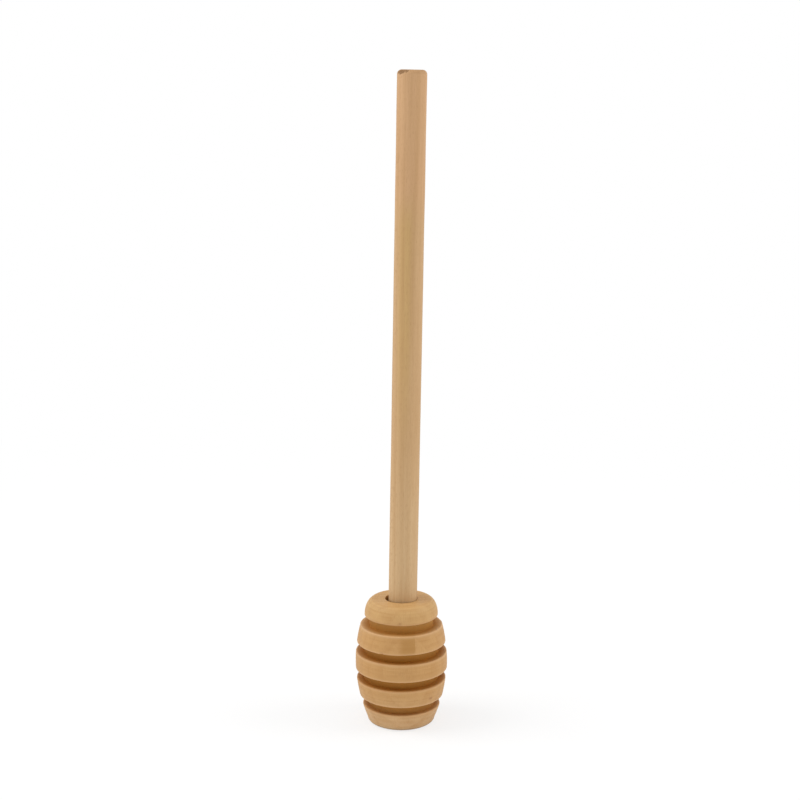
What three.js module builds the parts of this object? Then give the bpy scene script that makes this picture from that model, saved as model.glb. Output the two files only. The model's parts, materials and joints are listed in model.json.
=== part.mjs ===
import * as THREE from 'three';

// Honey dipper: a grooved wooden head, turned on a lathe and drilled down from its crown, takes a plain
// dowel handle whose foot stands in a cup of cured glue.
// Millimetres, +Z up, origin in the middle of the foot that the dipper stands on.

// Handle, a length of round dowel
const handleDiameter = 8;
const handleLength = 162;
const handleTopRounding = 1;
const handleFootChamfer = 0.5;

// Head, a barrel between a flat foot and a rounded crown
const headHeight = 35.7;
const bellyDiameter = 25.8;
const bellyHeight = 17.7;
const footDiameter = 18.15;
const footRounding = 1.1;
const crownHeight = 4.75;
const crownInset = 0.35;
const crownShoulder = 2.5;

// Grooves, square-bottomed and evenly spaced between the lowest ring and the crown
const grooveCount = 4;
const grooveWidth = 2.6;
const grooveDepth = 2.2;
const lowestRingHeight = 5.1;
const rimRounding = 0.3;

// Bore for the handle, and the cup of glue at its floor
const boreDepth = 18;
const glueHeight = 3;
const glueFloor = 0.6;
const glueWall = 0.3;

// Clearances of the handle: to the glue's wall, to its floor, and to the mouth that it leans towards
const handleWallGap = 0.3;
const handleFootGap = 0.3;
const handleMouthGap = 0.3;

// Facets round a turned piece, and steps along each kind of curve in a profile
const turnedFacets = 48;
const barrelSteps = 4;
const crownSteps = 8;
const edgeSteps = 4;
const rimSteps = 2;

const handleRadius = handleDiameter / 2;
const bellyRadius = bellyDiameter / 2;
const footRadius = footDiameter / 2;
const glueInnerRadius = handleRadius + handleWallGap;
const boreRadius = glueInnerRadius + glueWall;
const boreFloor = headHeight - boreDepth;
const handleFoot = boreFloor + glueFloor + handleFootGap;
const handleLean = Math.atan((boreRadius - handleRadius - handleMouthGap) / (headHeight - handleFoot));

const quarterTurn = Math.PI / 2;

const headWood = new THREE.MeshStandardMaterial({ color: 0xc49864, roughness: 0.6, metalness: 0 });
const handleWood = new THREE.MeshStandardMaterial({ color: 0xc19d70, roughness: 0.65, metalness: 0 });
const curedGlue = new THREE.MeshStandardMaterial({ color: 0xd9c48f, roughness: 0.35, metalness: 0 });

// A point of a profile.
function point(radius, height) {
  return new THREE.Vector2(radius, height);
}

// Points along an ellipse about (radius, height), between two angles measured from straight out.
function arc(radius, height, reachOut, reachUp, from, to, steps) {
  return new THREE.EllipseCurve(radius, height, reachOut, reachUp, from, to).getPoints(steps);
}

// The barrel's radius at a height: it falls off from the belly with the square of the distance, and
// would come down to the foot's radius at the foot.
function barrelRadius(height) {
  const share = (height - bellyHeight) / bellyHeight;
  return bellyRadius - (bellyRadius - footRadius) * share ** 2;
}

// Points up the barrel between two heights, with both ends left out.
function barrelSide(low, high) {
  const side = [];
  for (let step = 1; step < barrelSteps; step++) {
    const height = THREE.MathUtils.lerp(low, high, step / barrelSteps);
    side.push(point(barrelRadius(height), height));
  }
  return side;
}

// The rounded rim where a side of this radius turns in to a groove below it.
function lowerRim(radius, grooveTop) {
  const height = grooveTop + rimRounding;
  return arc(radius - rimRounding, height, rimRounding, rimRounding, -quarterTurn, 0, rimSteps);
}

// The rounded rim where a side of this radius turns in to a groove above it.
function upperRim(radius, grooveBottom) {
  const height = grooveBottom - rimRounding;
  return arc(radius - rimRounding, height, rimRounding, rimRounding, 0, quarterTurn, rimSteps);
}

// The lowest ring, from the middle of the foot up to the first groove.
function footRing(high) {
  const end = high - rimRounding;
  const flatRadius = barrelRadius(footRounding) - footRounding;
  return [
    point(0, 0),
    ...arc(flatRadius, footRounding, footRounding, footRounding, -quarterTurn, 0, edgeSteps),
    ...barrelSide(footRounding, end),
    ...upperRim(barrelRadius(end), high),
  ];
}

// A ring between two grooves.
function ring(low, high) {
  const start = low + rimRounding;
  const end = high - rimRounding;
  return [
    ...lowerRim(barrelRadius(start), low),
    ...barrelSide(start, end),
    ...upperRim(barrelRadius(end), high),
  ];
}

// The floor of a groove, square to its two walls.
function grooveCore(low, high) {
  const coreRadius = barrelRadius((low + high) / 2) - grooveDepth;
  return [point(coreRadius, low), point(coreRadius, high)];
}

// The top ring: a little slimmer than the barrel, rounded over to a flat round the bore.
function crown(low) {
  const start = low + rimRounding;
  const radius = barrelRadius(start) - crownInset;
  const flatRadius = radius - crownShoulder;
  const shoulder = arc(flatRadius, start, crownShoulder, headHeight - start, 0, quarterTurn, crownSteps);
  return [...lowerRim(radius, low), ...shoulder.slice(1)];
}

// The blind bore, from its mouth down to the middle of its floor.
function bore() {
  return [point(boreRadius, headHeight), point(boreRadius, boreFloor), point(0, boreFloor)];
}

function headProfile() {
  const highestGroove = headHeight - crownHeight - grooveWidth;
  const grooveSpacing = (highestGroove - lowestRingHeight) / (grooveCount - 1);
  const profile = footRing(lowestRingHeight);
  for (let index = 0; index < grooveCount; index++) {
    const low = lowestRingHeight + index * grooveSpacing;
    const high = low + grooveWidth;
    const isHighest = index === grooveCount - 1;
    profile.push(...grooveCore(low, high));
    profile.push(...(isHighest ? crown(high) : ring(high, low + grooveSpacing)));
  }
  return [...profile, ...bore()];
}

function handleProfile() {
  const topEdge = handleLength - handleTopRounding;
  const topFlat = handleRadius - handleTopRounding;
  return [
    point(0, 0),
    point(handleRadius - handleFootChamfer, 0),
    point(handleRadius, handleFootChamfer),
    ...arc(topFlat, topEdge, handleTopRounding, handleTopRounding, 0, quarterTurn, edgeSteps),
    point(0, handleLength),
  ];
}

// A floor under the handle's foot and a thin wall round it.
function glueProfile() {
  return [
    point(0, 0),
    point(boreRadius, 0),
    point(boreRadius, glueHeight),
    point(glueInnerRadius, glueHeight),
    point(glueInnerRadius, glueFloor),
    point(0, glueFloor),
  ];
}

// A named piece whose profile of (radius, height) points is turned round the Z axis.
function turnedPiece(name, profile, material) {
  const geometry = new THREE.LatheGeometry(profile, turnedFacets).rotateX(quarterTurn);
  const piece = new THREE.Mesh(geometry, material);
  piece.name = name;
  return piece;
}

const head = turnedPiece('dipper_head', headProfile(), headWood);

const glue = turnedPiece('glue_cup', glueProfile(), curedGlue);
glue.position.z = boreFloor;

// The handle stands in the middle of the glue and leans towards +X, almost to the bore's mouth.
const handle = turnedPiece('handle', handleProfile(), handleWood);
handle.position.z = handleFoot;
handle.rotation.y = handleLean;

const dipper = new THREE.Group();
dipper.name = 'honey_dipper';
dipper.add(head, glue, handle);

export default dipper;
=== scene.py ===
import json
import math

import bpy
import numpy as np
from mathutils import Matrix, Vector


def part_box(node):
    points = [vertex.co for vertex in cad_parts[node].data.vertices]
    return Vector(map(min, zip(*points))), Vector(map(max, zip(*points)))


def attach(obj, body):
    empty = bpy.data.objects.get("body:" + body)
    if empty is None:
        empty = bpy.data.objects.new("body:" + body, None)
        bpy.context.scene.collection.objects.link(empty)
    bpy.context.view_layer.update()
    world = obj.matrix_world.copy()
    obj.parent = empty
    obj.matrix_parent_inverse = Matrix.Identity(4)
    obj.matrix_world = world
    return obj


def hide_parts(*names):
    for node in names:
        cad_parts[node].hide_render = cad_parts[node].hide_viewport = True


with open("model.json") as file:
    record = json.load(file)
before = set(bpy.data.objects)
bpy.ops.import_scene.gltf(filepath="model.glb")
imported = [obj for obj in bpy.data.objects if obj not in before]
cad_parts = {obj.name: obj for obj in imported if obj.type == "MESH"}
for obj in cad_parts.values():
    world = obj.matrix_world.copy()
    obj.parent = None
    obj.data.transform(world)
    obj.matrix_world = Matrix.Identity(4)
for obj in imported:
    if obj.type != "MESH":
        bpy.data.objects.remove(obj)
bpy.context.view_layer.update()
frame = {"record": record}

# Turned head: one block of pale, close-grained hardwood, turned on a lathe to a barrel. A parting tool cuts
# four square grooves into it, the crown is rounded over, and the bore for the handle is drilled down
# from the crown. It stands on its flat foot.
mm = 0.001
head_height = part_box("dipper_head")[1].z
glue_low, glue_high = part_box("glue_cup")
belly_radius = 12.9 * mm
belly_height = 17.7 * mm
foot_radius = 9.075 * mm
foot_rounding = 1.1 * mm
lowest_ring = 5.1 * mm
groove_count = 4
groove_width = 2.6 * mm
groove_depth = 2.2 * mm
groove_corner = 0.15 * mm
rim_rounding = 0.3 * mm
crown_height = 4.75 * mm
crown_inset = 0.35 * mm
crown_shoulder = 2.5 * mm
bore_radius = glue_high.x
bore_floor = glue_low.z
mouth_tightness = 0.13 * mm
mouth_radius = bore_radius - mouth_tightness
mouth_rounding = 0.12 * mm
mouth_taper = 3 * mm

# How fine the head's surface is: steps round it, steps along its stretches and points in its bends.
head_turns = 240
side_step = 0.2 * mm
wall_step = 0.35 * mm
hidden_step = 1.5 * mm
rim_points = 6
corner_points = 3
foot_points = 8
crown_points = 18
mouth_points = 4


def straight(start, end, step):
    """Points from start towards end, a step or a little less apart: start plus even shares of the way. The
    end is left out, because the next stretch of an outline begins there."""
    start, end = np.array(start), np.array(end)
    count = math.ceil(np.linalg.norm(end - start) / step)
    return start + (end - start) * np.arange(count)[:, None] / count


def bend(centre, reach, start, end, count):
    """Points on an ellipse: the centre, plus the reach out times the cosine and the reach up times the sine
    of even angles from start to end, in degrees from straight out. The end is left out."""
    angle = np.radians(start + (end - start) * np.arange(count) / count)
    return np.array(centre) + np.array(reach) * np.stack([np.cos(angle), np.sin(angle)], axis=1)


def barrel_radius(height):
    """The belly's radius, less what it loses towards the foot, which grows with the square of the distance
    from the belly."""
    share = (height - belly_height) / belly_height
    return belly_radius - (belly_radius - foot_radius) * share**2


def barrel_side(low, high):
    """Points up the barrel from low towards high, each at the barrel's radius for its height."""
    height = straight((0, low), (0, high), side_step)[:, 1]
    return np.stack([barrel_radius(height), height], axis=1)


def groove_outline(low, radius_below, radius_above):
    """The rounded rim of the ring below, the wall in, the core, the wall out and the rim of the ring above,
    with a small fillet where each wall meets the core."""
    high = low + groove_width
    core = barrel_radius((low + high) / 2) - groove_depth
    rim = (rim_rounding, rim_rounding)
    corner = (groove_corner, groove_corner)
    inner = core + groove_corner
    return np.concatenate([
        bend((radius_below - rim_rounding, low - rim_rounding), rim, 0, 90, rim_points),
        straight((radius_below - rim_rounding, low), (inner, low), wall_step),
        bend((inner, low + groove_corner), corner, 270, 180, corner_points),
        straight((core, low + groove_corner), (core, high - groove_corner), wall_step),
        bend((inner, high - groove_corner), corner, 180, 90, corner_points),
        straight((inner, high), (radius_above - rim_rounding, high), wall_step),
        bend((radius_above - rim_rounding, high + rim_rounding), rim, -90, 0, rim_points),
    ])


def head_outside():
    """The outline from the middle of the foot, up the rings and grooves and over the crown to the mouth of
    the bore: a flat, a quarter round, barrel sides and grooves in turn, a quarter ellipse, a flat and a
    quarter round."""
    foot_flat = barrel_radius(foot_rounding) - foot_rounding
    stretches = [
        straight((0, 0), (foot_flat, 0), wall_step),
        bend((foot_flat, foot_rounding), (foot_rounding, foot_rounding), -90, 0, foot_points),
    ]
    start = foot_rounding
    for low in groove_lows:
        end = low - rim_rounding
        next_start = low + groove_width + rim_rounding
        radius_above = crown_radius if low == groove_lows[-1] else barrel_radius(next_start)
        stretches.append(barrel_side(start, end))
        stretches.append(groove_outline(low, barrel_radius(end), radius_above))
        start = next_start
    shoulder_rise = head_height - crown_low
    crown_flat = crown_radius - crown_shoulder
    mouth_edge = mouth_radius + mouth_rounding
    mouth = (mouth_rounding, mouth_rounding)
    stretches += [
        bend((crown_flat, crown_low), (crown_shoulder, shoulder_rise), 0, 90, crown_points),
        straight((crown_flat, head_height), (mouth_edge, head_height), wall_step),
        bend((mouth_edge, head_height - mouth_rounding), mouth, 90, 180, mouth_points),
    ]
    return np.concatenate(stretches)


def head_bore():
    """The outline from the mouth, which is a hair tighter than the drill, down the bore's wall and in to the
    middle of its floor."""
    mouth = (mouth_radius, head_height - mouth_rounding)
    wall_top = (bore_radius, head_height - mouth_taper)
    floor_edge = (bore_radius, bore_floor)
    floor_middle = (0, bore_floor)
    return np.concatenate([
        straight(mouth, wall_top, wall_step),
        straight(wall_top, floor_edge, hidden_step),
        straight(floor_edge, floor_middle, hidden_step),
        [floor_middle],
    ])


def waves(turn, along, crests, lengths, count, seed):
    """An uneven pattern that closes round a piece, with a spread of about 1: a sum of cosines, each with its
    own whole number of crests round the piece, its own length along it and its own start."""
    draw = np.random.default_rng(seed)
    crest = draw.integers(crests[0], crests[1] + 1, count)
    pace = 2 * np.pi / draw.uniform(lengths[0], lengths[1], count) * draw.choice([-1, 1], count)
    start = draw.uniform(0, 2 * np.pi, count)
    phase = crest * turn[..., None] + pace * along[..., None] + start
    return np.cos(phase).sum(axis=-1) * math.sqrt(2 / count)


def length_along(outline):
    """How far each point lies along its outline: the sum of the distances between the points before it."""
    return np.concatenate([[0], np.linalg.norm(np.diff(outline, axis=0), axis=1).cumsum()])


def all_round(values, turns):
    """A grid with the same value all the way round for each point of an outline."""
    return np.repeat(np.array(values)[:, None], turns, axis=1)


def turns_of(outline, turns):
    """A grid of the turn of each point, in even steps round the piece."""
    return np.tile(np.linspace(0, 2 * np.pi, turns, endpoint=False), (len(outline), 1))


def turned_points(radius, height, turn):
    """Points of a turned surface: the radius times the cosine and the sine of the turn, at the height."""
    return np.stack([radius * np.cos(turn), radius * np.sin(turn), height], axis=-1)


def closed_skin(name, points, marks):
    """A piece made of a grid of points. Each row closes round the piece and is joined to the next by
    four-sided faces. All points of the first row, and of the last, are one point, joined to its neighbours
    by a fan. Each mark is a grid of values that the piece's material can read."""
    rows, around = points.shape[:2]
    ring = 1 + np.arange((rows - 2) * around).reshape(rows - 2, around)
    after = np.roll(ring, -1, axis=1)
    last = ring[-1, -1] + 1
    sides = np.stack([ring[:-1], after[:-1], after[1:], ring[1:]], axis=-1).reshape(-1, 4)
    first_fan = np.stack([np.zeros(around, int), after[0], ring[0]], axis=-1)
    last_fan = np.stack([np.full(around, last), ring[-1], after[-1]], axis=-1)
    inside = points[1:-1].reshape(-1, 3)
    corners = np.concatenate([points[0, :1], inside, points[-1, :1]])
    mesh = bpy.data.meshes.new(name)
    mesh.from_pydata(corners.tolist(), [], sides.tolist() + first_fan.tolist() + last_fan.tolist())
    mesh.shade_smooth()
    for mark, grid in marks.items():
        flat = np.concatenate([grid[0, :1], grid[1:-1].ravel(), grid[-1, :1]])
        mesh.attributes.new(mark, "FLOAT", "POINT").data.foreach_set("value", flat)
    piece = bpy.data.objects.new(name, mesh)
    bpy.context.scene.collection.objects.link(piece)
    return piece


groove_lows = np.linspace(lowest_ring, head_height - crown_height - groove_width, groove_count)
crown_low = head_height - crown_height + rim_rounding
crown_radius = barrel_radius(crown_low) - crown_inset
outside = head_outside()
head_outline = np.concatenate([outside, head_bore()])
head_radius, head_level = head_outline.T
head_along = length_along(head_outline)

# How deep each point of the outline lies in a groove, and how near it is to the groove's lower inner corner,
# where painted shade darkens it. The lists go from the lowest groove up: how strong that painted shade is at
# each corner, and how soon it fades towards the rims, late in the lower three and early in the highest.
groove_dark = np.array([0.76, 1.0, 1.0, 0.7])
wall_fade = np.array([0.35, 0.25, 0.45, 0.95])
is_outside = np.arange(len(head_outline)) < len(outside)
is_grooved = is_outside & (head_level > lowest_ring - rim_rounding) & (head_level < crown_low)
groove_share = np.clip((barrel_radius(head_level) - head_radius) / groove_depth, 0, 1) * is_grooved
groove_rise = head_level[:, None] - groove_lows
is_in_groove = (groove_rise > -rim_rounding) & (groove_rise < groove_width + rim_rounding)
corner_rise = np.where(is_in_groove, np.clip(groove_rise, 0, groove_width), groove_width)
toward_corner = 1 - corner_rise / groove_width
groove_shade = (groove_dark * groove_share[:, None] ** wall_fade * toward_corner).max(axis=1)

# Painted shade darkens the bore the same way, with the square of the depth below its mouth.
bore_dark = 0.55
bore_lit = 1.2 * mm
bore_shade = bore_dark * np.clip((head_height - head_level) / bore_lit, 0, 1) ** 2
painted_shade_share = np.where(is_outside, groove_shade, bore_shade)

# How near each point is to a rim, and how squarely the wood is cut across its grain there, from 0 on an
# upright side to 1 on a flat.
wear_reach = 0.55 * mm
rim_levels = np.concatenate([groove_lows, groove_lows + groove_width])
rims = np.stack([barrel_radius(rim_levels), rim_levels], axis=1)
rim_distance = np.linalg.norm(head_outline[:, None] - rims, axis=-1).min(axis=1)
rim_share = np.exp(-(rim_distance / wear_reach) ** 2)
end_share = np.abs(np.gradient(head_radius, head_along))

# Small chips out of the rims, one nick in the crown's edge, a ragged mouth, rings that are a hair out of
# round, and the ripple that the tool left. Waves seldom rise past wave_top, so with that taken off the last
# two lie almost wholly inside the drawn size.
chip_depth = 0.1 * mm
chip_rarity = 1.1
nick_place = np.array([-0.4, -10.25, 31.5]) * mm
nick_reach = 0.4 * mm
nick_depth = 0.16 * mm
mouth_ragged = 0.03 * mm
out_of_round = 0.025 * mm
tool_ripple = 0.006 * mm
wave_top = 1.5
head_turn = turns_of(head_outline, head_turns)
head_way = all_round(head_along, head_turns)
head_level_grid = all_round(head_level, head_turns)
chip_waves = waves(head_turn, head_way, crests=(5, 44), lengths=(3 * mm, 9 * mm), count=40, seed=11)
chips = np.clip(chip_waves - chip_rarity, 0, None)
wobble = waves(head_turn, head_way, crests=(1, 4), lengths=(9 * mm, 30 * mm), count=12, seed=12)
ragged = waves(head_turn, head_way, crests=(6, 30), lengths=(1 * mm, 4 * mm), count=24, seed=13)
ripples = waves(head_turn, head_way, crests=(0, 1), lengths=(0.8 * mm, 2 * mm), count=24, seed=14)
mouth_distance = np.hypot(head_radius - mouth_radius, head_level - head_height)
mouth_share = np.exp(-(mouth_distance / wear_reach) ** 2)
smooth_points = turned_points(all_round(head_radius, head_turns), head_level_grid, head_turn)
nick = np.exp(-(np.linalg.norm(smooth_points - nick_place, axis=-1) / nick_reach) ** 2)
off_axis = np.clip(head_radius / foot_radius, 0, 1) * is_outside
radius_grid = (
    head_radius[:, None]
    - chip_depth * chips * rim_share[:, None]
    - nick_depth * nick
    + mouth_ragged * np.abs(ragged) * mouth_share[:, None]
    + out_of_round * (wobble - wave_top) * off_axis[:, None]
    + tool_ripple * (ripples - wave_top) * off_axis[:, None]
)
head = closed_skin(
    "turned_head",
    turned_points(radius_grid, head_level_grid, head_turn),
    {
        "along": head_way,
        "groove": all_round(groove_share, head_turns),
        "corner": all_round(painted_shade_share, head_turns),
        "rim": all_round(rim_share, head_turns),
        "end_grain": all_round(end_share, head_turns),
        "nick": nick,
    },
)


class Wire:
    """One output socket in a material's nodes. Sums, products and the like of wires and numbers add Math
    nodes, and node adds a node of any other kind. A wire with no socket only stands for the nodes that it
    is in."""

    def __init__(self, tree, socket=None):
        self.tree = tree
        self.socket = socket

    def node(self, kind, settings, inputs, output=0):
        """A new node of this kind: its settings are set first, and then its sockets are linked or set."""
        made = self.tree.nodes.new(kind)
        for name, value in settings.items():
            setattr(made, name, value)
        for name, value in inputs.items():
            if isinstance(value, Wire):
                self.tree.links.new(value.socket, made.inputs[name])
            else:
                made.inputs[name].default_value = value
        return Wire(self.tree, made.outputs[output] if len(made.outputs) else None)

    def math(self, operation, *values):
        """A Math node on these values."""
        return self.node("ShaderNodeMath", {"operation": operation}, dict(enumerate(values)))

    def vector(self, operation, *values, output=0):
        """A Vector Math node on this wire and these values."""
        inputs = dict(enumerate((self, *values)))
        return self.node("ShaderNodeVectorMath", {"operation": operation}, inputs, output)

    def __add__(self, other):
        return self.math("ADD", self, other)

    __radd__ = __add__

    def __sub__(self, other):
        return self.math("SUBTRACT", self, other)

    def __rsub__(self, other):
        return self.math("SUBTRACT", other, self)

    def __mul__(self, other):
        return self.math("MULTIPLY", self, other)

    __rmul__ = __mul__

    def __truediv__(self, other):
        return self.math("DIVIDE", self, other)

    def __pow__(self, other):
        return self.math("POWER", self, other)

    def step(self, low, high):
        """0 below low and 1 above high, with a smooth rise between them."""
        inputs = {"Value": self, "From Min": low, "From Max": high}
        return self.node("ShaderNodeMapRange", {"interpolation_type": "SMOOTHSTEP"}, inputs)

    def band(self, rise, fall):
        """A step up over the rise and down again over the fall, each given as its low and high end."""
        return self.step(*rise) * (1 - self.step(*fall))

    def between(self, first, second):
        """A colour that goes from the first to the second as this wire goes from 0 to 1. A Mix node names its
        sockets for numbers, vectors and colours alike, so those for colours are picked by their place."""
        factor, first_colour, second_colour, mixed_colour = 0, 6, 7, 2
        inputs = {factor: self, first_colour: first, second_colour: second}
        return self.node("ShaderNodeMix", {"data_type": "RGBA"}, inputs, mixed_colour)

    def axis(self, index):
        """One of the three numbers of the place that this wire gives."""
        return self.node("ShaderNodeSeparateXYZ", {}, {0: self}, index)

    def distance(self):
        """How far the place that this wire gives lies from the origin."""
        return self.vector("LENGTH", output="Value")

    def spot(self, centre, reach, fade):
        """1 at a centre and 0 away from it. The distance is counted in reaches along X, Y and Z, and the fall
        goes over the fade."""
        return 1 - self.vector("SUBTRACT", centre).vector("DIVIDE", reach).distance().step(*fade)

    def lumps(self, sizes, detail=1.0):
        """Noise from 0 to 1 at the place that this wire gives, in lumps of these sizes in metres along X, Y
        and Z."""
        place = self.vector("DIVIDE", sizes)
        return self.node("ShaderNodeTexNoise", {}, {"Vector": place, "Scale": 1.0, "Detail": detail})

    def sway(self, sizes, span, detail=1.0):
        """The same noise, less its middle value, over this span in metres."""
        middle = 0.5
        return (self.lumps(sizes, detail) - middle) * span

    def stripes(self, width, detail=1.0):
        """Noise along the length that this wire gives, in stripes of about this width in metres."""
        inputs = {"W": self / width, "Scale": 1.0, "Detail": detail}
        return self.node("ShaderNodeTexNoise", {"noise_dimensions": "1D"}, inputs)

    def mark(self, name):
        """The piece's own attribute of this name."""
        return self.node("ShaderNodeAttribute", {"attribute_name": name}, {}, "Fac")


def tone(red, green, blue):
    """A colour given as it looks on a screen, as the shader's light: each share of the full value, with a
    small offset, to a power, which is the screen's own curve."""
    full = 255
    offset = 0.055
    power = 2.4
    share = np.array([red, green, blue]) / full
    return (*((share + offset) / (1 + offset)) ** power, 1.0)


def new_finish(name):
    """A material without nodes, and the wire that its first node is made from."""
    finish = bpy.data.materials.new(name)
    finish.use_nodes = True
    finish.node_tree.nodes.clear()
    return finish, Wire(finish.node_tree)


def put_on(piece, finish, colour, roughness, gloss, height):
    """Ends a finish in a surface of this colour, roughness and gloss, with a height in metres as its bumps,
    and puts it on the piece."""
    bumps = height.node("ShaderNodeBump", {}, {"Strength": 1.0, "Distance": 1.0, "Height": height}, "Normal")
    inputs = {"Base Color": colour, "Roughness": roughness, "Specular IOR Level": gloss, "Normal": bumps}
    surface = colour.node("ShaderNodeBsdfPrincipled", {}, inputs)
    surface.node("ShaderNodeOutputMaterial", {}, {"Surface": surface})
    piece.data.materials.append(finish)


def log_grain(place, pith, year_width, wander):
    """The grain of a piece that was cut from a log. The distance from the pith, made uneven by noise, is cut
    into years, each a slow rise to a dark line that ends sharply. Rays are thin sheets along that distance,
    and vessels are fine and long along the log. Returns the three as shares."""
    wander_lumps = (9 * mm, 9 * mm, 70 * mm)
    late_rise = (0.35, 0.95)
    late_fall = (0.95, 1.0)
    ray_lumps = (2.5 * mm, 0.16 * mm, 1.1 * mm)
    ray_edge = (0.6, 0.74)
    vessel_lumps = (0.2 * mm, 0.2 * mm, 6 * mm)
    vessel_edge = (0.35, 0.7)
    across = place.axis(0) - pith[0]
    behind = place.axis(1) - pith[1]
    from_pith = (across * across + behind * behind) ** 0.5 + place.sway(wander_lumps, wander, detail=2.0)
    late = place.math("FRACT", from_pith / year_width).band(late_rise, late_fall)
    sideways = place.math("ARCTAN2", behind, across) * math.hypot(*pith)
    ray_place = place.node("ShaderNodeCombineXYZ", {}, {0: from_pith, 1: sideways, 2: place.axis(2)})
    rays = ray_place.lumps(ray_lumps, detail=0.0).step(*ray_edge)
    vessels = place.lumps(vessel_lumps, detail=2.0).step(*vessel_edge)
    return late, rays, vessels


head_pale = tone(200, 155, 98)
head_dark = tone(177, 128, 72)
foot_pale_and_lit = tone(211, 176, 131)
crown_gold = tone(208, 169, 112)
head_ray = tone(163, 112, 66)
groove_shade_brown = tone(186, 134, 60)
painted_shade_brown = tone(154, 95, 12)
rim_wear_and_highlight = tone(214, 172, 124)
end_brown = tone(186, 139, 84)
stain_brown = tone(168, 120, 56)
fleck_brown = tone(150, 98, 58)
foot_shade_grey = tone(150, 132, 108)

head_finish, nodes = new_finish("head_wood")
place = nodes.node("ShaderNodeTexCoord", {}, {}, "Object")
upward = place.axis(2)
groove = nodes.mark("groove")
corner = nodes.mark("corner")
rim = nodes.mark("rim")
end_grain = nodes.mark("end_grain")

# The ground is palest at the foot, partly paler wood and partly painted light against the shade near the
# table, and golden on the crown.
foot_fade = (0, 14 * mm)
crown_fade = (28 * mm, 35 * mm)
ground = (1 - upward.step(*foot_fade)).between(head_pale, foot_pale_and_lit)
ground = upward.step(*crown_fade).between(ground, crown_gold)

# Year lines, slow patches, vessels and rays darken it. Year lines are fainter on the crown, and stronger on
# flats that are cut across the grain.
head_pith = (-3 * mm, 26 * mm)
head_year = 2.1 * mm
head_wander = 1.6 * mm
patch_lumps = (7 * mm, 7 * mm, 16 * mm)
patch_edge = (0.3, 0.7)
patch_tint = 0.2
year_tint = 0.22
crown_year_fade = (27 * mm, 31 * mm)
crown_year_loss = 0.1
flat_year_gain = 0.15
flat_sharpness = 4
vessel_tint = 0.1
ray_tint = 0.18
late, rays, vessels = log_grain(place, head_pith, head_year, head_wander)
patches = place.lumps(patch_lumps, detail=2.0).step(*patch_edge)
year_share = year_tint - upward.step(*crown_year_fade) * crown_year_loss
year_share = year_share + end_grain**flat_sharpness * flat_year_gain
wood = (late * year_share + patches * patch_tint).between(ground, head_dark)
wood = (vessels * vessel_tint).between(wood, head_dark)
wood = (rays * ray_tint).between(wood, head_ray)

# Turning lines, fine and broad, run round the head. They sway a little, and show in patches and at the rims.
line_lumps = (6 * mm, 6 * mm, 6 * mm)
line_sway = 0.25 * mm
fine_line = 0.3 * mm
fine_line_edge = (0.3, 0.7)
broad_line = 0.9 * mm
broad_line_edge = (0.4, 0.62)
line_patch_lumps = (4 * mm, 4 * mm, 2.5 * mm)
line_patch_edge = (0.3, 0.65)
line_tint = 0.16
line_patch_tint = 0.34
line_rim_tint = 0.12
line_place = nodes.mark("along") + place.lumps(line_lumps) * line_sway
fine_lines = line_place.stripes(fine_line, detail=2.0).step(*fine_line_edge)
broad_lines = line_place.stripes(broad_line).step(*broad_line_edge)
lines = (fine_lines + broad_lines) / 2
line_patches = place.lumps(line_patch_lumps).step(*line_patch_edge)
line_share = line_tint + line_patches * line_patch_tint + rim * line_rim_tint
wood = (lines * line_share).between(wood, head_dark)

# A darker stain on the front of the second ring from the top, soft on its left and sharp on its right, a
# fleck on the fourth ring, and the bruise in the nick.
stain_lumps = (1 * mm, 1 * mm, 3 * mm)
stain_sway = 0.8 * mm
stain_left = (-1.6 * mm, 1.2 * mm)
stain_right = (3.6 * mm, 3.9 * mm)
stain_behind = (-8 * mm, -4 * mm)
stain_bottom = (20 * mm, 23 * mm)
stain_top = (27 * mm, 31 * mm)
stain_tint = 0.62
fleck_place = (8.2 * mm, -8.9 * mm, 9.5 * mm)
fleck_reach = (0.8 * mm, 0.8 * mm, 0.4 * mm)
fleck_fade = (0.3, 1.3)
fleck_tint = 0.6
nick_tint = 0.6
across = place.axis(0) + place.sway(stain_lumps, stain_sway)
stain = across.band(stain_left, stain_right) * (1 - place.axis(1).step(*stain_behind))
stain = stain * upward.band(stain_bottom, stain_top)
fleck = place.spot(fleck_place, fleck_reach, fleck_fade)
wood = (stain * stain_tint).between(wood, stain_brown)
wood = (fleck * fleck_tint + nodes.mark("nick") * nick_tint).between(wood, fleck_brown)

# End grain is a little browner, rims are worn pale and carry a painted highlight, the edge of the foot is
# darkened with painted shade, and the grooves carry painted shade, darkest in their lower corners.
end_tint = 0.15
rim_tint = 0.6
foot_shade_height = (0.1 * mm, 1.3 * mm)
foot_shade_radius = (5.5 * mm, 8 * mm)
foot_shade_tint = 0.45
groove_shade_tint = 0.78
off_centre = (place.axis(0) ** 2 + place.axis(1) ** 2) ** 0.5
# Painted shade along the foot's edge, next to the table.
foot_shade = (1 - upward.step(*foot_shade_height)) * off_centre.step(*foot_shade_radius)
wood = (end_grain * end_tint).between(wood, end_brown)
# Partly wear and partly a painted highlight along the rims.
wood = (rim * rim_tint).between(wood, rim_wear_and_highlight)
wood = (foot_shade * foot_shade_tint).between(wood, foot_shade_grey)
# Painted shade, deeper in the grooves.
wood = (groove * groove * groove_shade_tint).between(wood, groove_shade_brown)
# Painted shade, darkest in the groove corners and deep in the bore.
wood = corner.between(wood, painted_shade_brown)

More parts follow.
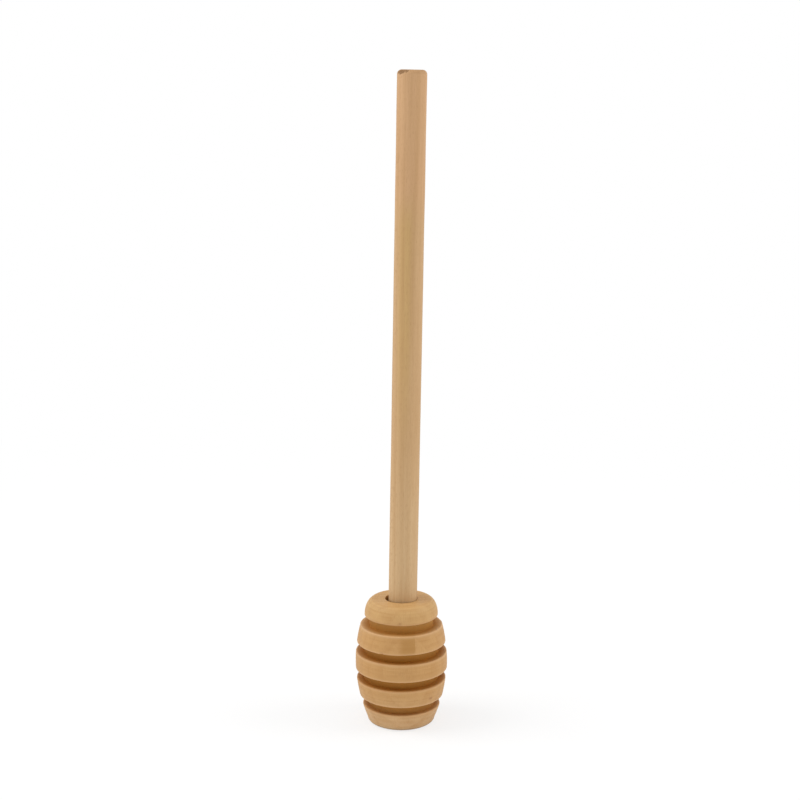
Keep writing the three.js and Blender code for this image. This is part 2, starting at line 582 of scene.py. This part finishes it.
# The sheen is satin, duller in vessels and grooves and smoother on the rims. Turning lines are raised, and
# vessels and rays are sunk.
head_rough = 0.52
vessel_rough = 0.12
groove_rough = 0.3
rim_polish = 0.06
wood_gloss = 0.35
fine_line_height = 0.012 * mm
broad_line_height = 0.01 * mm
vessel_depth = 0.004 * mm
ray_depth = 0.003 * mm
roughness = head_rough + vessels * vessel_rough + groove * groove_rough - rim * rim_polish
line_height = fine_lines * fine_line_height + broad_lines * broad_line_height
grain_height = line_height - vessels * vessel_depth - rays * ray_depth
put_on(head, head_finish, wood, roughness, wood_gloss, grain_height)
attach(head, "root")
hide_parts("dipper_head")

# Cured glue: wood glue poured into the bore before the dowel went in. It has set as a cup round the dowel's
# foot, honey coloured, a little glossy, with an uneven upper edge and small bubbles.
glue_floor = 0.6 * mm
glue_wall = 0.3 * mm
glue_height = glue_high.z - glue_low.z
glue_turns = 96
glue_step = 0.15 * mm
floor_step = 0.3 * mm
lip_points = 8
glue_lip = glue_wall / 2
lip_level = glue_height - glue_lip
glue_inner = bore_radius - glue_wall
glue_outline = np.concatenate([
    straight((0, 0), (bore_radius, 0), floor_step),
    straight((bore_radius, 0), (bore_radius, lip_level), glue_step),
    bend((bore_radius - glue_lip, lip_level), (glue_lip, glue_lip), 0, 180, lip_points),
    straight((glue_inner, lip_level), (glue_inner, glue_floor), glue_step),
    straight((glue_inner, glue_floor), (0, glue_floor), floor_step),
    [(0, glue_floor)],
])
glue_radius, glue_level = glue_outline.T
glue_along = length_along(glue_outline)

# The upper edge has sunk, unevenly round the cup and most at the lip, and bubbles left pits in the floor.
edge_sag = 0.45 * mm
edge_unevenness = 0.18 * mm
edge_sharpness = 4
pit_depth = 0.04 * mm
pit_rarity = 1.4
glue_turn = turns_of(glue_outline, glue_turns)
glue_way = all_round(glue_along, glue_turns)
same_way = np.zeros_like(glue_way)
edge_waves = waves(glue_turn, same_way, crests=(2, 9), lengths=(4 * mm, 9 * mm), count=12, seed=21)
edge_share = (glue_level / glue_height) ** edge_sharpness
pit_waves = waves(glue_turn, glue_way, crests=(4, 30), lengths=(0.8 * mm, 3 * mm), count=30, seed=22)
pits = np.clip(pit_waves - pit_rarity, 0, 1)
is_inside = glue_along > bore_radius + glue_height
is_floor = is_inside & (glue_level <= glue_floor) & (glue_radius > glue_step)
glue_level_grid = (
    glue_low.z
    + glue_level[:, None]
    - (edge_sag + edge_unevenness * edge_waves) * edge_share[:, None]
    - pit_depth * pits * is_floor[:, None]
)
glue_points = turned_points(all_round(glue_radius, glue_turns), glue_level_grid, glue_turn)
glue = closed_skin("cured_glue", glue_points, {})

glue_amber = tone(222, 190, 128)
glue_cloud = tone(238, 222, 184)
cloud_lumps = (1.6 * mm, 1.6 * mm, 1.2 * mm)
cloud_edge = (0.35, 0.65)
bubble_lumps = (0.25 * mm, 0.25 * mm, 0.25 * mm)
bubble_edge = (0.62, 0.75)
bubble_height = 0.02 * mm
glue_rough = 0.28
cloud_rough = 0.15
glue_gloss = 0.5
glue_finish, nodes = new_finish("cured_glue")
place = nodes.node("ShaderNodeTexCoord", {}, {}, "Object")
cloud = place.lumps(cloud_lumps, detail=3.0).step(*cloud_edge)
bubbles = place.lumps(bubble_lumps).step(*bubble_edge)
glue_colour = cloud.between(glue_amber, glue_cloud)
roughness = glue_rough + cloud * cloud_rough
put_on(glue, glue_finish, glue_colour, roughness, glue_gloss, bubbles * bubble_height)
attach(glue, "root")
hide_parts("glue_cup")

# Handle: a length of round hardwood dowel, sanded along the grain, glued upright into the bore and leaning a
# little. Its sawn top has a rounded edge with one splinter broken out, it is very slightly bowed, and painted
# shade darkens it where it enters the bore.
handle_end = next(mount for mount in frame["record"]["mounts"] if mount["name"] == "handle_end")
handle_axis = np.array(handle_end["axis"])
handle_top = np.array(handle_end["pos_m"])
handle_radius = 4 * mm
handle_length = 162 * mm
handle_foot = handle_top - handle_axis * handle_length
foot_chamfer = 0.5 * mm
top_rounding = 1.25 * mm
top_stretch = 4 * mm
handle_turns = 192
handle_step = 1.5 * mm
end_step = 0.2 * mm
sole_step = 0.6 * mm
top_points = 10
sole_radius = handle_radius - foot_chamfer
top_flat = handle_radius - top_rounding
top_edge = handle_length - top_rounding
top_start = handle_length - top_stretch
handle_outline = np.concatenate([
    straight((0, 0), (sole_radius, 0), sole_step),
    straight((sole_radius, 0), (handle_radius, foot_chamfer), end_step),
    straight((handle_radius, foot_chamfer), (handle_radius, top_start), handle_step),
    straight((handle_radius, top_start), (handle_radius, top_edge), end_step),
    bend((top_flat, top_edge), (top_rounding, top_rounding), 0, 90, top_points),
    straight((top_flat, handle_length), (0, handle_length), end_step),
    [(0, handle_length)],
])
dowel_radius, dowel_level = handle_outline.T
handle_along = length_along(handle_outline)

# Fine raised fibres and shallow hollows along the dowel, fading out towards the middle of its ends.
fibre_depth = 0.003 * mm
hollow_depth = 0.015 * mm
side_sharpness = 4
handle_turn = turns_of(handle_outline, handle_turns)
handle_way = all_round(handle_along, handle_turns)
fibres = waves(handle_turn, handle_way, crests=(16, 48), lengths=(25 * mm, 120 * mm), count=40, seed=31)
hollows = waves(handle_turn, handle_way, crests=(1, 5), lengths=(20 * mm, 80 * mm), count=16, seed=32)
on_side = np.clip(dowel_radius / handle_radius, 0, 1) ** side_sharpness
unevenness = fibre_depth * fibres + hollow_depth * (hollows - wave_top)
uneven_radius = dowel_radius[:, None] + unevenness * on_side[:, None]
dowel = turned_points(uneven_radius, all_round(dowel_level, handle_turns), handle_turn)


def break_splinter(points, azimuth, tilt, distance, rough):
    """Points beyond a slanting plane are brought back to it, by how far they lie beyond it along its normal,
    and left a little rough. Returns the points and how far each was moved."""
    normal = np.array([
        math.cos(azimuth) * math.cos(tilt),
        math.sin(azimuth) * math.cos(tilt),
        math.sin(tilt),
    ])
    beyond = np.clip(points @ normal - distance, 0, None)
    moved = np.clip(beyond - rough, 0, None)
    return points - moved[..., None] * normal, moved


# The splinter is on the left of the front, which is at 270 degrees. The rim reaches out to top_reach along
# the normal of the break, and the break lies a bite short of that.
front = 270
splinter_aside = 52
splinter_azimuth = math.radians(front - splinter_aside)
splinter_tilt = math.radians(50)
splinter_bite = 0.58 * mm
splinter_rough = 0.1 * mm
splinter_waves = waves(handle_turn, handle_way, crests=(5, 26), lengths=(1.2 * mm, 5 * mm), count=30, seed=33)
splinter_left = splinter_rough * (1 + np.clip(splinter_waves, -1, 1))
top_reach = top_flat * math.cos(splinter_tilt) + top_edge * math.sin(splinter_tilt) + top_rounding
break_at = top_reach - splinter_bite
dowel, broken = break_splinter(dowel, splinter_azimuth, splinter_tilt, break_at, splinter_left)

bow_mouth = 0.12 * mm
bow_middle = 0.05 * mm
mouth_at = head_height - handle_foot[2]


def dowel_bow(level):
    """How far the dowel's axis stands off its straight line. It goes out evenly from the foot to the mouth of
    the bore, and from there along a parabola, through its bow in the middle, to nothing at the top."""
    up_share = np.clip((level - mouth_at) / (handle_length - mouth_at), 0, 1)
    in_share = np.clip(level / mouth_at, 0, 1)
    bow = bow_mouth * (1 - up_share) ** 2 + (4 * bow_middle - bow_mouth) * up_share * (1 - up_share)
    return bow * in_share


# The upright dowel is leant: its own axes take the place of X, Y and Z, from the place of its foot.
level = dowel[..., 2]
across_axis = np.array([handle_axis[2], 0, -handle_axis[0]])
deep_axis = np.array([0, 1, 0])
dowel = (
    handle_foot
    + (dowel[..., :1] + dowel_bow(level)[..., None]) * across_axis
    + dowel[..., 1:2] * deep_axis
    + level[..., None] * handle_axis
)
broken_full = 0.28 * mm
handle_end_share = np.abs(np.gradient(dowel_radius, handle_along))
handle = closed_skin(
    "dowel_handle",
    dowel,
    {
        "broken": np.clip(broken / broken_full, 0, 1),
        "end_grain": all_round(handle_end_share, handle_turns),
    },
)

handle_pale = tone(201, 164, 119)
handle_low_and_lit = tone(207, 174, 130)
handle_rosy = tone(207, 165, 122)
handle_gold = tone(199, 163, 96)
handle_dark = tone(178, 137, 90)
handle_ray = tone(165, 124, 80)
handle_end_brown = tone(166, 126, 82)
broken_brown = tone(140, 104, 68)
entry_shade_brown = tone(178, 126, 64)

# The pattern is turned back by the dowel's lean, so that the grain runs along it, but for a slight run-out.
grain_run_out = math.radians(0.5)
handle_lean = math.atan2(handle_axis[0], handle_axis[2])
turn_back = (grain_run_out, -handle_lean, 0)
handle_finish, nodes = new_finish("handle_wood")
object_place = nodes.node("ShaderNodeTexCoord", {}, {}, "Object")
mapping = {"Vector": object_place, "Rotation": turn_back}
place = nodes.node("ShaderNodeMapping", {"vector_type": "POINT"}, mapping)
upward = object_place.axis(2)
across = place.axis(0)
broken_mark = nodes.mark("broken")
end_grain = nodes.mark("end_grain")

# The ground is paler near the head, partly painted light against the head's shade, and rosier near the top,
# with a golden streak on the left between them.
low_fade = (45 * mm, 90 * mm)
rosy_fade = (138 * mm, 152 * mm)
streak_left = (-3.8 * mm, -2 * mm)
streak_right = (-0.6 * mm, 1.4 * mm)
streak_bottom = (65 * mm, 115 * mm)
streak_top = (138 * mm, 150 * mm)
streak_tint = 0.5
streak = across.band(streak_left, streak_right) * upward.band(streak_bottom, streak_top)
ground = (1 - upward.step(*low_fade)).between(handle_pale, handle_low_and_lit)
ground = upward.step(*rosy_fade).between(ground, handle_rosy)
ground = (streak * streak_tint).between(ground, handle_gold)

# Year lines, long slow bands, vessels and rays darken it. The sawn end is browner, the break browner still,
# and painted shade darkens the entry into the bore.
handle_pith = (-24.4 * mm, 40.6 * mm)
handle_year = 1.7 * mm
handle_wander = 1.2 * mm
band_lumps = (1.6 * mm, 1.6 * mm, 45 * mm)
band_edge = (0.3, 0.7)
band_tint = 0.3
handle_year_tint = 0.22
end_year_gain = 0.6
handle_vessel_tint = 0.18
handle_ray_tint = 0.2
handle_end_tint = 0.6
broken_tint = 0.9
entry_fade = (head_height - 0.5 * mm, head_height + 0.15 * mm)
entry_shade_tint = 0.5
late, rays, vessels = log_grain(place, handle_pith, handle_year, handle_wander)
bands = place.lumps(band_lumps, detail=2.0).step(*band_edge)
year_share = handle_year_tint + end_grain * end_year_gain
wood = (late * year_share + bands * band_tint).between(ground, handle_dark)
wood = (vessels * handle_vessel_tint).between(wood, handle_dark)
wood = (rays * handle_ray_tint).between(wood, handle_ray)
wood = (end_grain * handle_end_tint).between(wood, handle_end_brown)
wood = (broken_mark * broken_tint).between(wood, broken_brown)
# Painted shade where the dowel enters the bore, and below.
entry = 1 - upward.step(*entry_fade)
wood = (entry * entry_shade_tint).between(wood, entry_shade_brown)

# The sheen is matt, with raised year lines and sunk vessels and rays.
handle_rough = 0.6
handle_vessel_rough = 0.1
broken_rough = 0.2
year_height = 0.006 * mm
handle_vessel_depth = 0.009 * mm
handle_ray_depth = 0.004 * mm
roughness = handle_rough + vessels * handle_vessel_rough + broken_mark * broken_rough
grain_height = late * year_height - vessels * handle_vessel_depth - rays * handle_ray_depth
put_on(handle, handle_finish, wood, roughness, wood_gloss, grain_height)
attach(handle, "root")
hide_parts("handle")

# Table: a wide sheet of white board under the dipper. The camera sees it nearly white, and it keeps the
# dipper's soft shadow, which fades out over the shadow's reach.
table_half = 4.0
white = (1.0, 1.0, 1.0, 1.0)
board_white = (0.95, 0.95, 0.95, 1.0)
shadow_kept = 0.32
shadow_reach = (0.05, 0.4)
corner_signs = np.array([(-1, -1), (1, -1), (1, 1), (-1, 1)])
table_corners = np.concatenate([corner_signs * table_half, np.zeros((len(corner_signs), 1))], axis=1)
table_mesh = bpy.data.meshes.new("table")
table_mesh.from_pydata(table_corners.tolist(), [], [(0, 1, 2, 3)])
table = bpy.data.objects.new("table", table_mesh)
bpy.context.scene.collection.objects.link(table)


def seen_directly(nodes):
    """1 for rays from the camera, or by way of a reflection or glass, and 0 for the rays that carry light."""
    kinds = ("Is Camera Ray", "Is Glossy Ray", "Is Transmission Ray")
    camera_ray, glossy_ray, glass_ray = [nodes.node("ShaderNodeLightPath", {}, {}, kind) for kind in kinds]
    return nodes.math("MAXIMUM", nodes.math("MAXIMUM", camera_ray, glossy_ray), glass_ray)


table_finish, nodes = new_finish("table_board")
board = nodes.node("ShaderNodeBsdfDiffuse", {}, {"Color": board_white})
glow = nodes.node("ShaderNodeEmission", {}, {"Color": white, "Strength": 1.0})
place = nodes.node("ShaderNodeTexCoord", {}, {}, "Object")
shadow = shadow_kept * (1 - place.distance().step(*shadow_reach))
seen_white = seen_directly(nodes) * (1 - shadow)
surface = nodes.node("ShaderNodeMixShader", {}, {0: seen_white, 1: board, 2: glow})
nodes.node("ShaderNodeOutputMaterial", {}, {"Surface": surface})
table.data.materials.append(table_finish)

# Studio light: an even white tent all round, a large soft lamp high on the left, and a weaker, lower one on
# the right.
tent_strength = 0.7
world = bpy.data.worlds.new("tent")
world.use_nodes = True
world.node_tree.nodes.clear()
bpy.context.scene.world = world
nodes = Wire(world.node_tree)
tent = nodes.node("ShaderNodeBackground", {}, {"Color": white, "Strength": tent_strength})
backdrop = nodes.node("ShaderNodeBackground", {}, {"Color": white, "Strength": 1.0})
seen = nodes.node("ShaderNodeMixShader", {}, {0: seen_directly(nodes), 1: tent, 2: backdrop})
nodes.node("ShaderNodeOutputWorld", {}, {"Surface": seen})


def soft_lamp(name, place, aim, size, power):
    """A square lamp of this size at a place, facing its aim: its own -Z axis points along the line between
    them."""
    lamp = bpy.data.lights.new(name, "AREA")
    lamp.size = size
    lamp.energy = power
    stand = bpy.data.objects.new(name, lamp)
    stand.location = place
    stand.rotation_euler = (Vector(aim) - Vector(place)).to_track_quat("-Z", "Y").to_euler()
    bpy.context.scene.collection.objects.link(stand)


head_middle = (0, 0, belly_height)
soft_lamp("lamp_left", place=(-0.78, -0.03, 0.92), aim=head_middle, size=0.7, power=5.7)
soft_lamp("lamp_right", place=(0.95, -0.05, 0.75), aim=head_middle, size=0.6, power=3.9)

# Camera: in front, at the height of the handle's end, dipped a little, so that the dipper is in the middle.
camera_place = (-0.36 * mm, -427.8 * mm, 179.3 * mm)
straight_ahead = 90
camera_dip = 11.5
camera_data = bpy.data.cameras.new("camera")
camera_data.sensor_width = 36
camera_data.lens = 72
camera = bpy.data.objects.new("camera", camera_data)
camera.location = camera_place
camera.rotation_euler = (math.radians(straight_ahead - camera_dip), 0, 0)
bpy.context.scene.collection.objects.link(camera)
bpy.context.scene.camera = camera
bpy.context.scene.view_settings.view_transform = "Standard"
